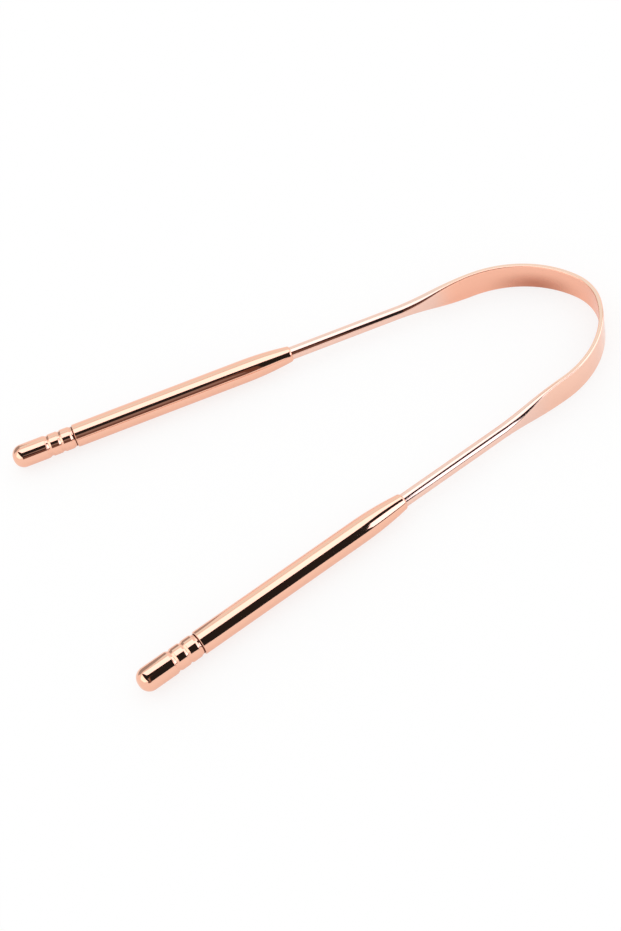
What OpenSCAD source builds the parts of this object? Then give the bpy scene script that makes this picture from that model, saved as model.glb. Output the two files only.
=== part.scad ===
// Tongue scraper: one rod, flattened to a strip and bent to a U, with two tubular handles.
// All sizes are in millimetres. The U lies flat, with its crown towards +Y.

/* [Blade] */
// Height of the flat strip, from edge to edge
strip_w = 7.5; // [6:0.25:9]
// Thickness of the strip
strip_t = 1.25; // [0.9:0.05:1.8]
// Radius of the crown of the bow, to the middle of the strip
crown_r = 15; // [12:0.5:20]
// Angle from the middle of the crown to the start of a flank, in degrees
crown_half_angle = 21; // [10:1:35]
// Radius of the flanks of the bow, to the middle of the strip
flank_r = 27.2; // [22:0.2:34]
// Length of straight strip that keeps its full height past a flank
strip_straight_l = 1.5; // [0.5:0.5:6]

/* [Rod] */
// Diameter of the rod
rod_d = 3.4; // [2.8:0.1:4]
// Length over which the rod is flattened into the strip
flatten_l = 18; // [12:1:26]
// How softly the flattening starts and ends, from a plain wedge to a full ease
flatten_ease_share = 0.5; // [0:0.1:1]
// Length of a straight arm, from the flank of the bow to the mouth of the tube
arm_l = 50; // [40:1:70]
// Angle of an arm to the centre line, in degrees
splay = 8.4; // [4:0.2:12]
// Length of rod that is held inside the tube
rod_held_l = 16; // [10:1:30]

/* [Handle tube] */
// Diameter of the tube
handle_d = 6; // [5.4:0.1:8]
// Length of a handle, from the mouth of the tube to the end of the plug
handle_l = 76; // [60:1:100]
// Wall of the tube
tube_wall = 0.5; // [0.4:0.05:0.8]
// Length of the nose, where the tube is drawn in
nose_l = 13.5; // [10:0.5:18]
// Wall of the nose at its mouth
mouth_wall = 0.25; // [0.2:0.05:0.4]
// Length of the close bore in the nose
mouth_bore_l = 4; // [2:0.5:8]
// Rounding of the lip of the nose
lip_r = 0.2; // [0.1:0.05:0.2]
// Chamfer on the tail end of the tube
rim_chamfer = 0.12; // [0.05:0.01:0.25]

/* [End plug] */
// Length of the plug that shows past the tube
plug_l = 16.7; // [14:0.1:20]
// Radius of the small flat at the middle of the domed end
dome_flat_r = 0.3; // [0.1:0.1:1]
// Number of grooves round the plug, the last one against the tube
groove_count = 3; // [1:1:4]
// Distance between the middles of two grooves
groove_pitch = 3.2; // [2.4:0.1:3.6]
// Width of a groove
groove_w = 1.3; // [0.8:0.1:1.8]
// Depth of a groove below the skin of the handle
groove_depth = 0.28; // [0.2:0.01:0.48]
// How far the bands between the grooves lie below the skin of the handle
band_drop = 0.1; // [0.02:0.01:0.15]
// Length of the spigot that fills the end of the tube
spigot_l = 6; // [4:0.5:12]
// Chamfer on the end of the spigot
spigot_chamfer = 0.4; // [0.1:0.1:0.6]

/* [Fits] */
// Clearance all round the rod in the mouth of the tube
rod_clearance = 0.05; // [0.02:0.01:0.1]
// Clearance all round the spigot in the tube
spigot_clearance = 0.02; // [0.01:0.01:0.05]

/* [Hidden] */

// Smoothness of turned shapes, of the long arc of the nose and of the flattened stretch
turned_fn = 96;
ogive_fn = 720;
flatten_rings = 24;
flatten_points = 40;

// Overrun of every cut, and of every stretch that enters its neighbour
overrun = 0.5;

// The crown and the flattened stretches are this much smaller all round than what they enter
entry_inset = 0.01;

// Radii
rod_r = rod_d / 2;
handle_r = handle_d / 2;
tube_bore_r = handle_r - tube_wall;
mouth_bore_r = rod_r + rod_clearance;
mouth_r = mouth_bore_r + mouth_wall;
spigot_r = tube_bore_r - spigot_clearance;
dome_r = handle_r - dome_flat_r;

// The nose is an arc that leaves the tube smoothly and meets the mouth
nose_drop = handle_r - mouth_r;
ogive_r = (nose_l * nose_l + nose_drop * nose_drop) / (2 * nose_drop);
ogive_centre = [handle_r - ogive_r, nose_l];
lip_centre_r = ogive_centre[0] + sqrt(pow(ogive_r - lip_r, 2) - pow(nose_l - lip_r, 2));
lip_top = lip_r - (nose_l - lip_r) * lip_r / (ogive_r - lip_r);

// Lengths along a handle, from the mouth
tube_l = handle_l - plug_l;

// A groove is an arc of this radius, as wide as its name says at the level of the bands
groove_bite = groove_depth - band_drop;
groove_r = (groove_w * groove_w / 4 + groove_bite * groove_bite) / (2 * groove_bite);
last_groove = groove_w / 2;

// Plan of the bow, from the middle of its crown
half_turn = 90 - splay;
crown_centre = [0, -crown_r];
flank_centre = crown_centre + (crown_r - flank_r) * [sin(crown_half_angle), cos(crown_half_angle)];
flank_end = flank_centre + flank_r * [sin(half_turn), cos(half_turn)];
arm_way = [sin(splay), -cos(splay)];

// The origin lies under the middle of the whole object
dome_ring = flank_end + (arm_l + handle_l - dome_r) * arm_way;
back_y = dome_ring[1] - dome_flat_r * sin(splay) - dome_r;
front_y = strip_t / 2 - entry_inset;
crown_y = -(front_y + back_y) / 2;
middle_z = max(strip_w, handle_d) / 2;

// Share of the round section left at a share x of the flattened stretch
function roundness(x) = x - flatten_ease_share * sin(360 * x) / (2 * PI);

// Outline of the section at a share x: two half rounds with flats between them
function flattened_ring(x) =
    let (
        round_share = roundness(x),
        half_t = strip_t / 2 + (rod_r - strip_t / 2) * round_share - entry_inset,
        half_w = strip_w / 2 + (rod_r - strip_w / 2) * round_share - entry_inset
    )
    [for (i = [0 : flatten_points - 1])
        let (turn = (i + 1 / 2) * 360 / flatten_points)
        [half_t * cos(turn), (half_w - half_t) * sign(sin(turn)) + half_t * sin(turn)]];

// Solid through rings of equal length, each lifted to its own height
module loft(rings, heights) {
    count = len(rings);
    points = len(rings[0]);
    skin = [for (k = [0 : count - 2]) for (i = [0 : points - 1])
        let (
            j = (i + 1) % points,
            low = k * points,
            high = low + points
        )
        each [[low + i, high + i, high + j], [low + i, high + j, low + j]]];
    first_cap = [for (i = [0 : points - 1]) i];
    last_cap = [for (i = [points - 1 : -1 : 0]) (count - 1) * points + i];
    polyhedron(
        points = [for (k = [0 : count - 1]) for (p = rings[k]) [p[0], p[1], heights[k]]],
        faces = concat(skin, [first_cap, last_cap])
    );
}

// Puts a piece on an arm: z runs from the mouth of the tube to the tail, y is up
module on_arm(side) {
    mirror([side < 0 ? 1 : 0, 0, 0])
        translate([flank_end[0] + arm_l * arm_way[0], crown_y + flank_end[1] + arm_l * arm_way[1], middle_z])
            rotate([90, 0, splay])
                children();
}

// Section of the strip, standing on its edge at a distance from the centre of a bend
module strip_section(bend_r, inset) {
    half_t = strip_t / 2 - inset;
    flat_w = strip_w - strip_t;
    translate([bend_r, 0]) {
        square([2 * half_t, flat_w], center = true);
        for (end = [-1, 1])
            translate([0, end * flat_w / 2])
                circle(half_t, $fn = turned_fn);
    }
}

// Strip bent round a centre, between two angles measured from the middle of the crown
module bent_strip(centre, bend_r, from_angle, to_angle, inset = 0) {
    translate([centre[0], centre[1], 0])
        rotate([0, 0, 90 - to_angle])
            rotate_extrude(angle = to_angle - from_angle, $fn = 4 * turned_fn)
                strip_section(bend_r, inset);
}

// The strip's bow: a crown that runs into two wider flanks
module bow() {
    crown_end = crown_half_angle + overrun / crown_r * 180 / PI;
    translate([0, crown_y, middle_z]) {
        bent_strip(crown_centre, crown_r, -crown_end, crown_end, entry_inset);
        for (side = [0, 1])
            mirror([side, 0, 0])
                bent_strip(flank_centre, flank_r, crown_half_angle, half_turn);
    }
}

// Straight strip, flattened stretch and round rod of one arm
module arm_rod() {
    shares = [for (k = [0 : flatten_rings]) k / flatten_rings];
    flat_end = strip_straight_l - arm_l;
    round_start = flat_end + flatten_l;
    loft(
        [flattened_ring(0), for (x = shares) flattened_ring(x), flattened_ring(1)],
        [-arm_l - overrun, for (x = shares) flat_end + flatten_l * x, round_start + overrun]
    );
    translate([0, 0, round_start])
        cylinder(r = rod_r, h = rod_held_l - round_start, $fn = turned_fn);
}

module scraper_loop() {
    color("#F2B7A0") {
        bow();
        for (side = [-1, 1])
            on_arm(side)
                arm_rod();
    }
}

// Half section of the tube's skin: a drawn-in nose with a rounded lip, and a plain barrel
module tube_skin() {
    translate([0, nose_l])
        square([handle_r, tube_l - nose_l - rim_chamfer]);
    translate([0, tube_l - rim_chamfer])
        polygon([[0, 0], [handle_r, 0], [handle_r - rim_chamfer, rim_chamfer], [0, rim_chamfer]]);
    intersection() {
        translate([0, lip_top])
            square([handle_r, nose_l - lip_top]);
        translate(ogive_centre)
            circle(ogive_r, $fn = ogive_fn);
    }
    square([lip_centre_r, lip_r]);
    translate([lip_centre_r, lip_r])
        circle(lip_r, $fn = turned_fn);
}

// Half section of the hollow: a close bore at the mouth that opens under the nose
module tube_hollow() {
    translate([0, -overrun])
        square([mouth_bore_r, mouth_bore_l + overrun]);
    translate([0, nose_l])
        square([tube_bore_r, tube_l - nose_l + overrun]);
    intersection() {
        translate([0, mouth_bore_l])
            square([tube_bore_r, nose_l - mouth_bore_l]);
        translate(ogive_centre)
            circle(ogive_r - tube_wall, $fn = ogive_fn);
    }
}

module handle_tube() {
    color("#F4BCA4")
        rotate_extrude($fn = turned_fn)
            difference() {
                tube_skin();
                tube_hollow();
            }
}

module left_handle_tube() {
    on_arm(-1) handle_tube();
}

module right_handle_tube() {
    on_arm(1) handle_tube();
}

// Half section of the plug: domed end, plain head, grooved neck and spigot
module plug_section() {
    first_groove = last_groove + (groove_count - 1) * groove_pitch;
    translate([0, -spigot_l])
        polygon([
            [0, 0],
            [spigot_r - spigot_chamfer, 0],
            [spigot_r, spigot_chamfer],
            [spigot_r, spigot_l],
            [0, spigot_l]
        ]);
    difference() {
        union() {
            square([handle_r - band_drop, first_groove]);
            translate([0, first_groove])
                square([handle_r, plug_l - dome_r - first_groove]);
            translate([0, plug_l - dome_r])
                square([dome_flat_r, dome_r]);
            intersection() {
                translate([0, plug_l - dome_r])
                    square([handle_r, dome_r]);
                translate([dome_flat_r, plug_l - dome_r])
                    circle(dome_r, $fn = turned_fn);
            }
        }
        for (k = [0 : groove_count - 1])
            translate([handle_r - groove_depth + groove_r, last_groove + k * groove_pitch])
                circle(groove_r, $fn = turned_fn);
    }
}

module end_plug() {
    color("#EFAF95")
        translate([0, 0, tube_l])
            rotate_extrude($fn = turned_fn)
                plug_section();
}

module left_end_plug() {
    on_arm(-1) end_plug();
}

module right_end_plug() {
    on_arm(1) end_plug();
}

scraper_loop();
left_handle_tube();
right_handle_tube();
left_end_plug();
right_end_plug();
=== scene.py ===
from math import acos, asin, ceil, copysign, cos, hypot, pi, radians, sin, sqrt, tan

import bmesh
import bpy
from mathutils import Matrix, Vector


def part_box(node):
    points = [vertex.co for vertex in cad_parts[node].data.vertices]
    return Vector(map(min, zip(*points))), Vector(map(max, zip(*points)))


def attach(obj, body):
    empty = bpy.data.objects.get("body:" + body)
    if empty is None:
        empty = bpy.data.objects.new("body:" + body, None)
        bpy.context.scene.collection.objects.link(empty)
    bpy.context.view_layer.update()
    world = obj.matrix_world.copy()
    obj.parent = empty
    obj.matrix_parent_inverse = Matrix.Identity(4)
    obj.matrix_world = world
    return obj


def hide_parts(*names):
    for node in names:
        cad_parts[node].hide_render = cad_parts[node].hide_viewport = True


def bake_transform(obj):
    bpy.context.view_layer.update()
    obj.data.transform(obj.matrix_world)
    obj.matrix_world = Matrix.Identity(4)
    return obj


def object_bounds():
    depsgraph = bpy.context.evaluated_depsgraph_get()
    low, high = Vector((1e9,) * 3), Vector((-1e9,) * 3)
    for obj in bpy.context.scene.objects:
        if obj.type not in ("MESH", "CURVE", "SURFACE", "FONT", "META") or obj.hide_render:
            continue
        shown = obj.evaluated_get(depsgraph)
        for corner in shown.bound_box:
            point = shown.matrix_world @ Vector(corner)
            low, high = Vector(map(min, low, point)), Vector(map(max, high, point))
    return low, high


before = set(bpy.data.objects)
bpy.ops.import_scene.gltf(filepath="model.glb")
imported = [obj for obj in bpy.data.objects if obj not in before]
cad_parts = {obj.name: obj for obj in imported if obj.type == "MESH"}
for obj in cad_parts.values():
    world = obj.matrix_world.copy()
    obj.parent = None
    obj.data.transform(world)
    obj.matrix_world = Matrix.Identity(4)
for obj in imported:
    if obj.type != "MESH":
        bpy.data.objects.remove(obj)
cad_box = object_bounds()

# Camera.
# It looks down on the tool from beyond the right handle, through a long lens, and is rolled so that
# both handles run down to the left of the picture.
camera_azimuth = radians(75.054)
camera_elevation = radians(48.619)
camera_roll = radians(-16.256)
camera_distance = 0.435349
camera_looks_at = Vector((0.006815, -0.011888, 0.00375))
focal_length_px = 1788.674
picture_long_side_px = 931
sensor_width_mm = 36
clip_span = 100

camera_data = bpy.data.cameras.new("camera")
camera_data.sensor_width = sensor_width_mm
camera_data.lens = sensor_width_mm * focal_length_px / picture_long_side_px
camera_data.clip_start = camera_distance / clip_span
camera_data.clip_end = camera_distance * clip_span
camera = bpy.data.objects.new("camera", camera_data)
bpy.context.scene.collection.objects.link(camera)
towards_camera = Vector((
    cos(camera_elevation) * sin(camera_azimuth),
    -cos(camera_elevation) * cos(camera_azimuth),
    sin(camera_elevation),
))
level_right = Vector((cos(camera_azimuth), sin(camera_azimuth), 0))
level_top = towards_camera.cross(level_right)
picture_right = level_right * cos(camera_roll) + level_top * sin(camera_roll)
picture_top = level_top * cos(camera_roll) - level_right * sin(camera_roll)
turn = Matrix((picture_right, picture_top, towards_camera)).transposed().to_4x4()
camera.matrix_world = Matrix.Translation(camera_looks_at + towards_camera * camera_distance) @ turn
bpy.context.scene.camera = camera
bpy.context.scene.view_settings.view_transform = "Standard"

# Table and backdrop.
# A plain white table top under a white studio. Its paint is matt, and part of its brightness is its own,
# so that the shadow of the tool stays light. The polished metal mirrors a deeper shadow.
white = (1, 1, 1, 1)
table_half_width = 3.0
table_drop = 0.0001
seen_paint_share = 0.25
mirrored_paint_share = 0.6


def emitter(material, strength, colour=white):
    """Adds a shader that glows evenly, and returns it."""
    glow = material.node_tree.nodes.new("ShaderNodeEmission")
    glow.inputs["Color"].default_value = colour
    glow.inputs["Strength"].default_value = strength
    return glow


def flat_panel(name, corners, material):
    """Makes one flat panel of the studio from its corners."""
    mesh = bpy.data.meshes.new(name)
    mesh.from_pydata([Vector(c) for c in corners], [], [range(len(corners))])
    mesh.materials.append(material)
    panel = bpy.data.objects.new(name, mesh)
    bpy.context.scene.collection.objects.link(panel)
    return panel


def painted(material, paint_share):
    """Adds matt white that is partly paint and partly its own light, and returns its shader."""
    nodes, links = material.node_tree.nodes, material.node_tree.links
    paint = nodes.new("ShaderNodeBsdfDiffuse")
    paint.inputs["Color"].default_value = (paint_share, paint_share, paint_share, 1)
    both = nodes.new("ShaderNodeAddShader")
    links.new(paint.outputs[0], both.inputs[0])
    links.new(emitter(material, 1 - paint_share).outputs[0], both.inputs[1])
    return both


white_table = bpy.data.materials.new("white_table")
white_table.use_nodes = True
table_nodes = white_table.node_tree.nodes
table_links = white_table.node_tree.links
table_nodes.clear()
rays = table_nodes.new("ShaderNodeLightPath")
seen_or_mirrored = table_nodes.new("ShaderNodeMixShader")
table_links.new(rays.outputs["Is Glossy Ray"], seen_or_mirrored.inputs[0])
table_links.new(painted(white_table, seen_paint_share).outputs[0], seen_or_mirrored.inputs[1])
table_links.new(painted(white_table, mirrored_paint_share).outputs[0], seen_or_mirrored.inputs[2])
table_output = table_nodes.new("ShaderNodeOutputMaterial")
table_links.new(seen_or_mirrored.outputs[0], table_output.inputs["Surface"])
table_corners = [
    (x * table_half_width, y * table_half_width, -table_drop)
    for x, y in ((-1, -1), (1, -1), (1, 1), (-1, 1))
]
flat_panel("table_top", table_corners, white_table)

# Studio light.
# White walls all round, a large soft box above the tool, and black, white, brown, pale and grey cards
# beside it. The soft box and the cards only show in the polished metal, where they draw its stripes.
mm = 0.001
wall_light = 1.0
studio = bpy.data.worlds.new("studio")
studio.use_nodes = True
studio.node_tree.nodes["Background"].inputs["Color"].default_value = white
studio.node_tree.nodes["Background"].inputs["Strength"].default_value = wall_light
bpy.context.scene.world = studio

# The places of the cards are in millimetres.
ceiling = 350
card_gap = 4
right_side = 600
left_side = -600
beyond_crown = 1600


def card(name, corners, strength, colour=white):
    """Hangs a card or soft box, with its corners in millimetres, that shows only in reflections."""
    face = bpy.data.materials.new(name)
    face.use_nodes = True
    face.node_tree.nodes.clear()
    glow = emitter(face, strength, colour)
    output = face.node_tree.nodes.new("ShaderNodeOutputMaterial")
    face.node_tree.links.new(glow.outputs[0], output.inputs["Surface"])
    panel = flat_panel(name, [[c * mm for c in corner] for corner in corners], face)
    panel.visible_camera = False
    panel.visible_diffuse = False
    panel.visible_shadow = False


def level_card(name, gaps, plan, strength, colour=white):
    """Hangs a card level, so many gaps below the ceiling. Its plan runs across and along the tool."""
    card(name, [(x, y, ceiling - gaps * card_gap) for x, y in plan], strength, colour)


def side_card(name, gaps, side, outline, strength, colour=white):
    """Stands a card upright, so many gaps inside a side. Its outline runs along the tool and up."""
    x = side - gaps * card_gap * (1 if side > 0 else -1)
    card(name, [(x, y, z) for y, z in outline], strength, colour)


def rectangle(first, last):
    """The four corners of a rectangular card, from two opposite ones."""
    return [first, (last[0], first[1]), last, (first[0], last[1])]


# The soft box gives the cream stripes. Its right edge has one stretch for each arm of the tool.
soft_box_left = -190
soft_box_right = 186
soft_box_front = -260
far_arm_edge = [(62, -105), (66, -50), (84, -18), (108, 2)]
near_arm_edge = [(113, 90), (94, 110), (52, 130), (24, 160), (4, 205)]
bow_notch = [(0, 285), (soft_box_right, 310)]
soft_box = [(soft_box_left, beyond_crown), (soft_box_left, soft_box_front), *far_arm_edge, *near_arm_edge]
soft_box += [*bow_notch, (soft_box_right, beyond_crown)]
soft_box_light = 1.82
soft_box_tone = (0.96, 0.95, 1.03, 1)
level_card("soft_box", 1, soft_box, soft_box_light, soft_box_tone)
rim = rectangle((-245, soft_box_front), (-194, beyond_crown))
rim_light = 0.78
level_card("soft_box_rim", 1, rim, rim_light)

# The black cards give the dark stripes.
black = 0.02
black_front = -330
black_plan = [(soft_box_left, black_front), (right_side, black_front), (right_side, beyond_crown)]
black_plan += [(0, beyond_crown), (0, 0), (soft_box_left, -200)]
level_card("black_card", 0, black_plan, black)
black_side = [(black_front, 115), (-60, 120), (20, 165), (112, 165), (127, 60), (beyond_crown, 55)]
black_side += [(beyond_crown, ceiling), (black_front, ceiling)]
side_card("black_side_card", 0, right_side, black_side, black)

# The white cards hide the black ones from the near stem and from the front of the near nose.
white_side_start = 293
white_plan = [(262, 172), (right_side, white_side_start), (right_side, beyond_crown), (190, beyond_crown)]
white_plan += [(204, 240), (240, 196)]
white_card_light = 2.4
white_card_tone = (0.8, 0.86, 1, 1)
level_card("white_card", 1, white_plan, white_card_light, white_card_tone)
white_side = rectangle((white_side_start, 165), (beyond_crown, ceiling))
side_card("white_side_card", 1, right_side, white_side, white_card_light, white_card_tone)

# The tail card lights the domed ends and the grooves.
tail_card = rectangle((soft_box_left, -1200), (right_side, black_front))
tail_light = 1.7
level_card("tail_card", 1, tail_card, tail_light)

# The brown boards warm the lower half of the dark stripe on the far handle and stem.
board_left = 290
boards_meet = -45
brown_board = rectangle((board_left, -170), (right_side, boards_meet))
brown_light = 0.29
brown_tone = (1, 0.84, 0.8, 1)
level_card("brown_board", 2, brown_board, brown_light, brown_tone)
deep_board = [(215, boards_meet), (right_side, boards_meet), (right_side, 18), (board_left, 18), (215, 2)]
deep_board_light = 0.15
deep_board_tone = (1, 0.5, 0.35, 1)
level_card("deep_board", 2, deep_board, deep_board_light, deep_board_tone)
deep_side = [(-260, 125), (-60, 125), (20, 168), (20, ceiling), (-260, ceiling)]
deep_side_light = 0.17
deep_side_tone = (1, 0.55, 0.42, 1)
side_card("deep_side_board", 1, right_side, deep_side, deep_side_light, deep_side_tone)

# The pale card shows along the top of the stems and handles, the grey one along the top of the plugs.
pale_card = rectangle((left_side, -60), (-249, 330))
pale_light = 1
pale_tone = (0.92, 1.1, 1.12, 1)
level_card("pale_card", 1, pale_card, pale_light, pale_tone)
grey_side = rectangle((-700, 0), (-30, 600))
grey_light = 0.40
side_card("grey_side_card", 0, left_side, grey_side, grey_light)

# Scraper rod.
# One round rod of copper-coloured metal. Its middle is rolled flat to a strip that stands on its edge and is
# bent to a bow, its ends stay round and run straight into the handles. It is polished and then plated.
strip_width = 7.494 * mm
strip_thickness = 1.23 * mm
rod_radius = 1.7 * mm
crown_radius = 15 * mm
crown_half_angle = radians(21)
flank_radius = 27.2 * mm
arm_splay = radians(8.4)
arm_length = 50 * mm
straight_strip_length = 1.5 * mm
flattened_length = 18 * mm
flattened_ease_share = 0.5
rod_held_length = 16 * mm
rod_station_step = 0.4 * mm
rod_section_points = 96

# The edges of the strip are a little squarer than round. A power of 1 makes them round, as on the stem.
edge_power = 0.5

loop_low, loop_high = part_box("scraper_loop")
mid_height = (loop_low.z + loop_high.z) / 2
crown_y = cad_box[1].y - strip_thickness / 2
crown_centre = Vector((0, crown_y - crown_radius))
crown_end_way = Vector((sin(crown_half_angle), cos(crown_half_angle)))
flank_centre = crown_centre + (crown_radius - flank_radius) * crown_end_way
flank_end_angle = pi / 2 - arm_splay
flank_end = flank_centre + flank_radius * Vector((sin(flank_end_angle), cos(flank_end_angle)))
arm_way = Vector((sin(arm_splay), -cos(arm_splay)))
mouth = flank_end + arm_length * arm_way
crown_run = crown_radius * crown_half_angle
flank_run = flank_radius * (flank_end_angle - crown_half_angle)
bow_run = crown_run + flank_run
rod_run = bow_run + arm_length + rod_held_length


def rod_line(distance):
    """Place and direction of the rod's middle line in plan, at a distance from the middle of the crown."""
    if distance >= bow_run:
        return flank_end + (distance - bow_run) * arm_way, arm_way
    if distance < crown_run:
        centre, radius, angle = crown_centre, crown_radius, distance / crown_radius
    else:
        centre, radius = flank_centre, flank_radius
        angle = crown_half_angle + (distance - crown_run) / flank_radius
    return centre + radius * Vector((sin(angle), cos(angle))), Vector((cos(angle), -sin(angle)))


def roundness(distance):
    """How round the rod is at a distance from the middle of the crown: 0 on the strip, 1 on the stem."""
    share = (distance - bow_run - straight_strip_length) / flattened_length
    share = min(max(share, 0), 1)
    return share - flattened_ease_share * sin(2 * pi * share) / (2 * pi)


def rod_section(distance):
    """Outline of the rod's section: pairs of a sideways and an upward offset."""
    share = roundness(distance)
    half_thickness = strip_thickness / 2 + (rod_radius - strip_thickness / 2) * share
    half_width = strip_width / 2 + (rod_radius - strip_width / 2) * share
    flat = half_width - half_thickness
    power = edge_power + (1 - edge_power) * share
    outline = []
    for i in range(rod_section_points):
        angle = 2 * pi * (i + 0.5) / rod_section_points
        out = copysign(abs(cos(angle)) ** power, cos(angle))
        up = copysign(abs(sin(angle)) ** power, sin(angle))
        outline.append((half_thickness * out, copysign(flat, up) + half_thickness * up))
    return outline


def skin(name, rings, grain, closed_ends, ring_like=False):
    """Makes a smooth mesh through rings of points.

    Each ring that closed_ends numbers gets a flat cap, and a ring_like skin joins its last ring to its first.
    The grain gives each point's place along the piece, across it and up, in millimetres.
    """
    mesh = bpy.data.meshes.new(name)
    count = len(rings[0])
    points = [p for ring in rings for p in ring]
    faces = []
    for k in range(len(rings) if ring_like else len(rings) - 1):
        low, high = k * count, (k + 1) % len(rings) * count
        for i in range(count):
            j = (i + 1) % count
            faces.append((low + i, low + j, high + j, high + i))
    for k in closed_ends:
        faces.append([k * count + i for i in range(count)])
    mesh.from_pydata(points, [], faces)
    attribute = mesh.attributes.new("grain", "FLOAT_VECTOR", "POINT")
    attribute.data.foreach_set("vector", [c for g in grain for c in g])
    shaping = bmesh.new()
    shaping.from_mesh(mesh)
    bmesh.ops.recalc_face_normals(shaping, faces=shaping.faces)
    for face in shaping.faces:
        face.smooth = True
    shaping.to_mesh(mesh)
    shaping.free()
    piece = bpy.data.objects.new(name, mesh)
    bpy.context.scene.collection.objects.link(piece)
    return piece


def srgb(red, green, blue):
    """Turns a colour as a picture holds it, from 0 to 255, into the linear colour that a shader takes."""
    shares = [c / 255 for c in (red, green, blue)]
    linear = [s / 12.92 if s <= 0.04045 else ((s + 0.055) / 1.055) ** 2.4 for s in shares]
    return (*linear, 1)


# A mix node holds its colours and its plain numbers in different sockets: first, second and result.
colour_sockets = (6, 7, 2)
number_sockets = (2, 3, 0)


def polished_plating(name, tone, deep_tone, roughness_low, roughness_high, line_strength, wave_strength):
    """Polished copper-coloured metal. Tone and gloss vary a little, and polishing lines run along it."""
    cloud_cycles_per_mm = (0.05, 0.35, 0.35)
    line_cycles_per_mm = (0.25, 9, 9)
    wave_cycles_per_mm = (0.12, 0.5, 0.5)
    line_height = 0.002 * mm
    wave_height = 0.02 * mm
    noise_low = 0.3
    noise_high = 0.7
    plating = bpy.data.materials.new(name)
    plating.use_nodes = True
    nodes, links = plating.node_tree.nodes, plating.node_tree.links
    metal = nodes["Principled BSDF"]
    metal.inputs["Metallic"].default_value = 1.0
    place = nodes.new("ShaderNodeAttribute")
    place.attribute_name = "grain"
    place.name = "place"

    def noise(cycles_per_mm, detail):
        """Noise with so many cycles for each millimetre along the piece, across it and up."""
        spread = nodes.new("ShaderNodeVectorMath")
        spread.operation = "MULTIPLY"
        spread.inputs[1].default_value = cycles_per_mm
        texture = nodes.new("ShaderNodeTexNoise")
        texture.inputs["Scale"].default_value = 1
        texture.inputs["Detail"].default_value = detail
        links.new(place.outputs["Vector"], spread.inputs[0])
        links.new(spread.outputs[0], texture.inputs["Vector"])
        return texture.outputs["Fac"]

    clouds = noise(cloud_cycles_per_mm, detail=2)
    first, second, result = colour_sockets
    tones = nodes.new("ShaderNodeMix")
    tones.data_type = "RGBA"
    tones.inputs[first].default_value = tone
    tones.inputs[second].default_value = deep_tone
    links.new(clouds, tones.inputs["Factor"])
    links.new(tones.outputs[result], metal.inputs["Base Color"])

    lines = noise(line_cycles_per_mm, detail=6)
    gloss = nodes.new("ShaderNodeMapRange")
    gloss.inputs["From Min"].default_value = noise_low
    gloss.inputs["From Max"].default_value = noise_high
    gloss.inputs["To Min"].default_value = roughness_low
    gloss.inputs["To Max"].default_value = roughness_high
    links.new(lines, gloss.inputs["Value"])
    links.new(gloss.outputs["Result"], metal.inputs["Roughness"])

    fine = nodes.new("ShaderNodeBump")
    fine.inputs["Strength"].default_value = line_strength
    fine.inputs["Distance"].default_value = line_height
    wavy = nodes.new("ShaderNodeBump")
    wavy.inputs["Strength"].default_value = wave_strength
    wavy.inputs["Distance"].default_value = wave_height
    waves = noise(wave_cycles_per_mm, detail=2)
    links.new(lines, fine.inputs["Height"])
    links.new(waves, wavy.inputs["Height"])
    links.new(wavy.outputs["Normal"], fine.inputs["Normal"])
    links.new(fine.outputs["Normal"], metal.inputs["Normal"])
    return plating


def grain_of(plating):
    """Outputs that give a point's place along the piece (X), across it (Y) and up (Z), in millimetres."""
    nodes, links = plating.node_tree.nodes, plating.node_tree.links
    parts = nodes.new("ShaderNodeSeparateXYZ")
    links.new(nodes["place"].outputs["Vector"], parts.inputs[0])
    return parts.outputs


def worked_out(plating, operation, *values):
    """One step of arithmetic in the material, such as the product of two shares."""
    step = plating.node_tree.nodes.new("ShaderNodeMath")
    step.operation = operation
    for value, socket in zip(values, step.inputs):
        plating.node_tree.links.new(value, socket)
    return step.outputs[0]


def ramp(plating, value, full, none):
    """A share that is 1 at one value and fades to 0 at another."""
    share = plating.node_tree.nodes.new("ShaderNodeMapRange")
    share.interpolation_type = "SMOOTHSTEP"
    share.inputs["From Min"].default_value = none
    share.inputs["From Max"].default_value = full
    plating.node_tree.links.new(value, share.inputs["Value"])
    return share.outputs["Result"]


def retone(plating, share, tone, roughness=None):
    """Gives the plating another tone and roughness where the share says so."""
    nodes, links = plating.node_tree.nodes, plating.node_tree.links
    metal = nodes["Principled BSDF"]
    changes = [("Base Color", "RGBA", tone)]
    if roughness is not None:
        changes.append(("Roughness", "FLOAT", roughness))
    for socket, kind, value in changes:
        old = metal.inputs[socket].links[0].from_socket
        mix = nodes.new("ShaderNodeMix")
        mix.data_type = kind
        first, second, result = colour_sockets if kind == "RGBA" else number_sockets
        mix.inputs[second].default_value = value
        links.new(share, mix.inputs[0])
        links.new(old, mix.inputs[first])
        links.new(mix.outputs[result], metal.inputs[socket])


rod_plating = polished_plating(
    "rod_plating",
    tone=srgb(246, 207, 191),
    deep_tone=srgb(244, 203, 186),
    roughness_low=0.05,
    roughness_high=0.10,
    line_strength=0.25,
    wave_strength=0.1,
)

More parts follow.
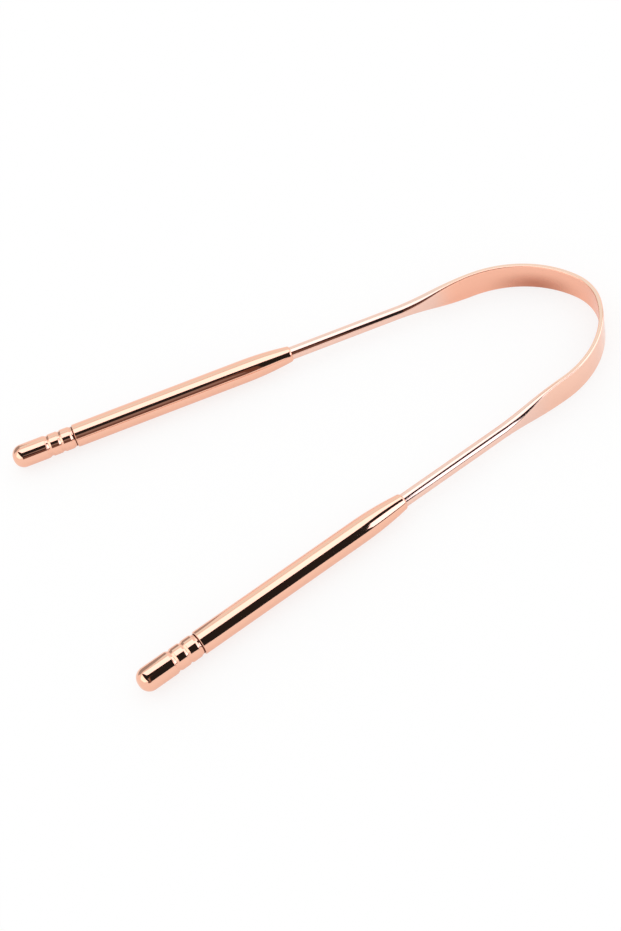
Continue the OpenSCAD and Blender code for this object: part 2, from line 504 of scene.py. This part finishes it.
# The bow is a little deeper in tone than the stems. Its inside face is satin, with a painted shade that is
# deepest low on its flanks. The lengths here are in millimetres, from the middle of the crown or of the
# section.
bow_tone = srgb(252, 205, 183)
bow_end = 38
bow_fade_end = 46
# Painted shade: the inside face's deeper tone stands for the shaded table and pink bow that it mirrors.
inside_shade_tone = srgb(253, 192, 166)
satin_roughness = 0.24
satin_and_shade_face = -0.5
satin_and_shade_fade_end = -0.3
# Painted shade: darker low on the inside of the flanks, where the shaded table at the strip's foot is
# mirrored.
flank_shade_tone = srgb(206, 139, 115)
flank_roughness = 0.3
flank_middle = 17
flank_reach = 15
flank_low = -2.4
flank_high = 2.6
rod_grain = grain_of(rod_plating)
from_crown = worked_out(rod_plating, "ABSOLUTE", rod_grain["X"])
in_bow = ramp(rod_plating, from_crown, bow_end, bow_fade_end)
on_inside_face = ramp(rod_plating, rod_grain["Y"], satin_and_shade_face, satin_and_shade_fade_end)
inside = worked_out(rod_plating, "MULTIPLY", in_bow, on_inside_face)
retone(rod_plating, in_bow, bow_tone)
# Paints shade on the inside face, and makes it satin.
retone(rod_plating, inside, inside_shade_tone, satin_roughness)
before_flank = ramp(rod_plating, from_crown, flank_middle, flank_middle - flank_reach)
past_flank = ramp(rod_plating, from_crown, flank_middle, flank_middle + flank_reach)
on_flank = worked_out(rod_plating, "MULTIPLY", before_flank, past_flank)
low_down = ramp(rod_plating, rod_grain["Z"], flank_low, flank_high)
low_inside = worked_out(rod_plating, "MULTIPLY", inside, low_down)
flank_shade = worked_out(rod_plating, "MULTIPLY", on_flank, low_inside)
# Paints the shade low on the inside of the flanks.
retone(rod_plating, flank_shade, flank_shade_tone, flank_roughness)


def rod_half(side):
    """Half of the rod, from the middle of the crown to its end in a handle."""
    name = "scraper_rod_right" if side > 0 else "scraper_rod_left"
    stations = ceil(rod_run / rod_station_step)
    rings, grain = [], []
    for k in range(stations + 1):
        distance = rod_run * k / stations
        middle, way = rod_line(distance)
        outwards = Vector((-way.y, way.x))
        ring = []
        for out, up in rod_section(distance):
            plan = middle + outwards * out
            ring.append((side * plan.x, plan.y, mid_height + up))
            grain.append((side * distance / mm, out / mm, up / mm))
        rings.append(ring)
    half = skin(name, rings, grain, closed_ends=(stations,))
    half.data.materials.append(rod_plating)
    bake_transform(half)
    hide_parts("scraper_loop")


for side in (-1, 1):
    rod_half(side)

# Handle tubes.
# A thin tube on each arm. Its nose is drawn in over the stem by spinning, its tail is cut square and
# lightly chamfered. It is polished to a mirror and plated.
handle_radius = 2.998 * mm
handle_length = 75.998 * mm
tube_wall = 0.5 * mm
nose_length = 13.5 * mm
mouth_wall = 0.25 * mm
mouth_clearance = 0.05 * mm
mouth_bore_length = 4 * mm
lip_radius = 0.7 * mm
rim_chamfer = 0.12 * mm
plug_length = 16.7 * mm
turned_points = 160
profile_step = 0.5 * mm
corner_guard = 0.02 * mm
lip_steps = 10
nose_steps = 60
hollow_nose_steps = 10

tube_length = handle_length - plug_length
bore_radius = rod_radius + mouth_clearance
nose_drop = handle_radius - (bore_radius + mouth_wall)
ogive_radius = (nose_length ** 2 + nose_drop ** 2) / (2 * nose_drop)
ogive_centre = (handle_radius - ogive_radius, nose_length)


def arc(centre, radius, start, end, steps):
    """Points along an arc, from one angle to another: radius outwards, then length."""
    angles = [start + (end - start) * i / steps for i in range(steps + 1)]
    return [(centre[0] + radius * cos(a), centre[1] + radius * sin(a)) for a in angles]


def close_points(profile):
    """Adds points to a profile's straights, with one close to each corner, so that it shades evenly."""
    dense = [profile[0]]
    for (r0, z0), (r1, z1) in zip(profile, profile[1:]):
        run = hypot(r1 - r0, z1 - z0)
        shares = []
        if run > 4 * corner_guard:
            inner = max(1, ceil(run / profile_step))
            shares = [corner_guard / run, *(i / inner for i in range(1, inner)), 1 - corner_guard / run]
        for share in shares + [1]:
            dense.append((r0 + (r1 - r0) * share, z0 + (z1 - z0) * share))
    return dense


def turned(name, side, profile, ring_like):
    """Turns a profile, whose lengths run from the mouth of the tube to the tail, round the axis of an arm."""
    rings, grain = [], []
    for radius, along in profile:
        ring = []
        for i in range(turned_points):
            angle = 2 * pi * i / turned_points
            across, up = radius * cos(angle), radius * sin(angle)
            plan = mouth + arm_way * along + Vector((-arm_way.y, arm_way.x)) * across
            ring.append((side * plan.x, plan.y, mid_height + up))
            grain.append((along / mm, across / mm, up / mm))
        rings.append(ring)
    closed_ends = () if ring_like else (0, len(rings) - 1)
    return skin(name, rings, grain, closed_ends, ring_like)


def tube_profile():
    """Half section of the tube, all the way round: lip, nose, barrel, rim, and back along the bore."""
    lip_run = nose_length - lip_radius
    lip_reach = ogive_radius - lip_radius
    lip_centre = (ogive_centre[0] + sqrt(lip_reach ** 2 - lip_run ** 2), lip_radius)
    lip_start = -acos((bore_radius - lip_centre[0]) / lip_radius)
    lip_end = -asin(lip_run / lip_reach)
    outer = arc(lip_centre, lip_radius, lip_start, lip_end, lip_steps)
    outer += arc(ogive_centre, ogive_radius, lip_end, 0, nose_steps)[1:]
    outer += [(handle_radius, tube_length - rim_chamfer), (handle_radius - rim_chamfer, tube_length)]
    hollow_radius = handle_radius - tube_wall
    hollow_end = -asin((nose_length - mouth_bore_length) / (ogive_radius - tube_wall))
    inner = [(hollow_radius, tube_length), (hollow_radius, nose_length)]
    inner += arc(ogive_centre, ogive_radius - tube_wall, 0, hollow_end, hollow_nose_steps)[1:]
    inner += [(bore_radius, mouth_bore_length), outer[0]]
    return close_points(outer + inner)[:-1]


handle_plating = polished_plating(
    "handle_plating",
    tone=srgb(248, 194, 169),
    deep_tone=srgb(247, 190, 164),
    roughness_low=0.03,
    roughness_high=0.07,
    line_strength=0.15,
    wave_strength=0.25,
)
for side, arm in ((-1, "left"), (1, "right")):
    tube = turned(arm + "_tube", side, tube_profile(), ring_like=True)
    tube.data.materials.append(handle_plating)
    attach(tube, arm + "_arm")
    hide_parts(arm + "_handle_tube")

# End plugs.
# A solid turned plug closes the tail of each tube: a spigot inside the tube, a neck with three ring grooves,
# a plain head and a domed end. It is pushed in against the tube's rim, and polished and plated like it.
groove_count = 3
groove_pitch = 3.2 * mm
groove_width = 1.2 * mm
groove_flank = radians(26)
groove_bottom_radius = 0.12 * mm
groove_shoulder_radius = 0.14 * mm
band_drop = 0.1 * mm
head_edge_radius = 0.06 * mm
seam_width = 0.3 * mm
seam_depth = 0.42 * mm
seam_taper = 0.02 * mm
dome_flat_radius = 0.3 * mm
spigot_length = 6 * mm
spigot_clearance = 0.02 * mm
spigot_chamfer = 0.4 * mm
axis_radius = 0.01 * mm
shoulder_steps = 6
bottom_steps = 8
dome_steps = 40

band_radius = handle_radius - band_drop
seam_end = tube_length + seam_width
neck_end = tube_length + groove_width + (groove_count - 1) * groove_pitch
tail_end = tube_length + plug_length


def groove(middle):
    """A groove with straight flanks, a rounded bottom and rounded shoulders, from one band to the next."""
    both_radii = groove_bottom_radius + groove_shoulder_radius
    flank_width = groove_width / 2 - both_radii * sin(groove_flank)
    bottom_radius = band_radius - flank_width * tan(groove_flank) - both_radii * (1 - cos(groove_flank))
    bottom_centre = (bottom_radius + groove_bottom_radius, middle)
    first_centre = (band_radius - groove_shoulder_radius, middle - groove_width / 2)
    last_centre = (band_radius - groove_shoulder_radius, middle + groove_width / 2)
    bottom_turn = (pi + groove_flank, pi - groove_flank)
    turns = arc(first_centre, groove_shoulder_radius, 0, groove_flank, shoulder_steps)
    turns += arc(bottom_centre, groove_bottom_radius, *bottom_turn, bottom_steps)
    turns += arc(last_centre, groove_shoulder_radius, -groove_flank, 0, shoulder_steps)
    return turns


def plug_profile():
    """Half section of the plug, from the spigot's end to the middle of the dome."""
    spigot_radius = handle_radius - tube_wall - spigot_clearance
    spigot_end = tube_length - spigot_length
    profile = [(axis_radius, spigot_end), (spigot_radius - spigot_chamfer, spigot_end)]
    profile += [(spigot_radius, spigot_end + spigot_chamfer), (spigot_radius, tube_length)]
    seam_bottom = handle_radius - seam_depth
    profile += [(seam_bottom, tube_length + seam_taper), (seam_bottom, seam_end - seam_taper)]
    for k in range(groove_count):
        turns = groove(tube_length + groove_width / 2 + k * groove_pitch)
        profile += [point for point in turns if point[1] > seam_end]
    head_start = neck_end + head_edge_radius
    profile += [(band_radius, head_start), (handle_radius, head_start + band_drop)]
    dome_radius = handle_radius - dome_flat_radius
    profile += arc((dome_flat_radius, tail_end - dome_radius), dome_radius, 0, pi / 2, dome_steps)
    profile += [(axis_radius, tail_end)]
    return close_points(profile)


plug_plating = polished_plating(
    "plug_plating",
    tone=srgb(248, 194, 169),
    deep_tone=srgb(246, 189, 163),
    roughness_low=0.03,
    roughness_high=0.07,
    line_strength=0.15,
    wave_strength=0.1,
)

# The slot at the seam has painted shade: a dark, rough tone where the recess between tube and plug is shaded.
seam_shade_tone = srgb(105, 56, 40)
seam_shade_roughness = 0.5
seam_shade_fade = 0.04 * mm
along_plug = grain_of(plug_plating)["X"]
# Painted shade in the seam slot.
in_seam_shade = ramp(plug_plating, along_plug, (seam_end - seam_taper) / mm, (seam_end + seam_shade_fade) / mm)
retone(plug_plating, in_seam_shade, seam_shade_tone, seam_shade_roughness)
for side, arm in ((-1, "left"), (1, "right")):
    plug = turned(arm + "_plug", side, plug_profile(), ring_like=False)
    plug.data.materials.append(plug_plating)
    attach(plug, arm + "_arm")
    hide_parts(arm + "_end_plug")
